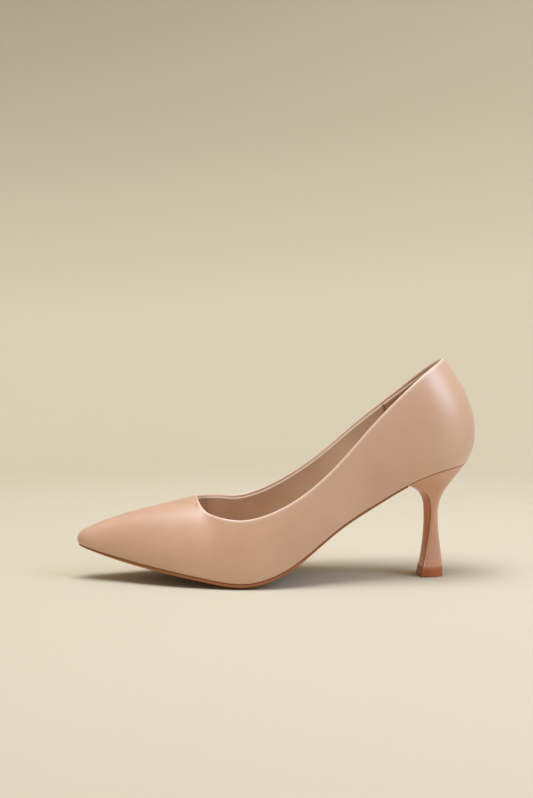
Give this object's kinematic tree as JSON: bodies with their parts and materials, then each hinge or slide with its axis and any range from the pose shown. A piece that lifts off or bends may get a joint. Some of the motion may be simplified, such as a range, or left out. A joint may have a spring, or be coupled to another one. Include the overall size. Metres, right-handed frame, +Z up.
{
  "type": "high heel pump",
  "caption": "Pointed-toe court shoe for the left foot with a low-cut topline, a curved cemented sole and a slim covered heel that flares to its top piece.",
  "frame": {"origin": "on the ground, under the middle of the shoe's bounding box", "axes": "+X from the toe tip to the heel, +Y from the outer (lateral) side to the inner (medial) side, +Z up"},
  "size_m": [0.2421, 0.0734, 0.1338],
  "materials": {
    "upper_leather": "smooth satin nude finish",
    "heel_leather": "smooth satin nude finish, a little darker than the upper",
    "breast_leather": "smooth satin finish",
    "lining": "matt beige lining leather",
    "grip": "matt napped lining leather",
    "sock": "matt beige lining leather",
    "tape": "woven tape",
    "backing": "woven backing cloth",
    "stiffener": "thermoplastic stiffener sheet",
    "board": "cellulose insole board",
    "foam": "latex foam",
    "filler": "felt filler",
    "steel": "plain steel",
    "sole": "matt tan sole with a dark edge",
    "heel_plastic": "moulded plastic",
    "top_piece": "matt tan wear rubber"
  },
  "bodies": {
    "root": {"upper": "upper_leather", "topline_tape": "tape", "toe_puff": "stiffener", "vamp_backing": "backing", "outer_quarter_backing": "backing", "inner_quarter_backing": "backing", "heel_counter": "stiffener", "vamp_lining": "lining", "outer_quarter_lining": "lining", "inner_quarter_lining": "lining", "heel_grip": "grip", "insole_board": "board", "forefoot_cushion": "foam", "shank_board": "board", "steel_shank": "steel", "shank_rivet_front": "steel", "shank_rivet_rear": "steel", "bottom_filler": "filler", "heel_cushion": "foam", "sock_lining": "sock", "outsole": "sole", "heel_block": "heel_plastic", "heel_cover": "heel_leather", "heel_breast_cover": "breast_leather", "heel_tube": "steel", "seat_screw": "steel", "seat_nails": "steel", "top_piece": "top_piece", "top_piece_pin": "steel"}
  },
  "joints": []
}
